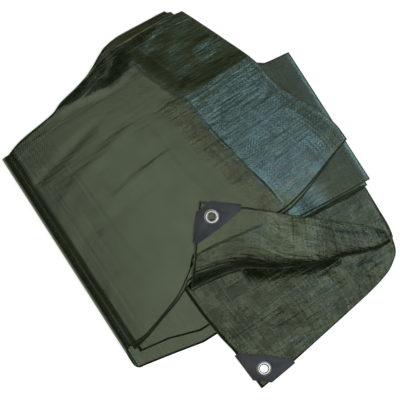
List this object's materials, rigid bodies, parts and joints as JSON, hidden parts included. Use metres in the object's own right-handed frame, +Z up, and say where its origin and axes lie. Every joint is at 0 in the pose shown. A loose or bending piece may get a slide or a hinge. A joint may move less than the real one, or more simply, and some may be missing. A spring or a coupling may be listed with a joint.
{
  "type": "folded tarpaulin",
  "caption": "Green coated woven tarpaulin folded into a flat bundle, its hemmed corners fanned out with dark corner patches and metal eyelets.",
  "frame": {"origin": "on the table, under the middle of the bundle's outline as seen from above", "axes": "+Z up from the table; +Y along the folds, away from the opened-out corners; +X across the folds, towards the side where the cover's slanting fold lies"},
  "size_m": [0.455, 0.5636, 0.0419],
  "materials": {
    "sheet": "woven tape cloth with a satin plastic coating",
    "patch": "matt moulded plastic",
    "eyelet": "bright pressed metal"
  },
  "bodies": {
    "root": {"tarp": "sheet", "corner_patch_lower": "patch", "corner_patch_upper": "patch", "eyelet_lower": "eyelet", "eyelet_upper": "eyelet", "eyelet_washer_lower": "eyelet", "eyelet_washer_upper": "eyelet"}
  },
  "joints": []
}
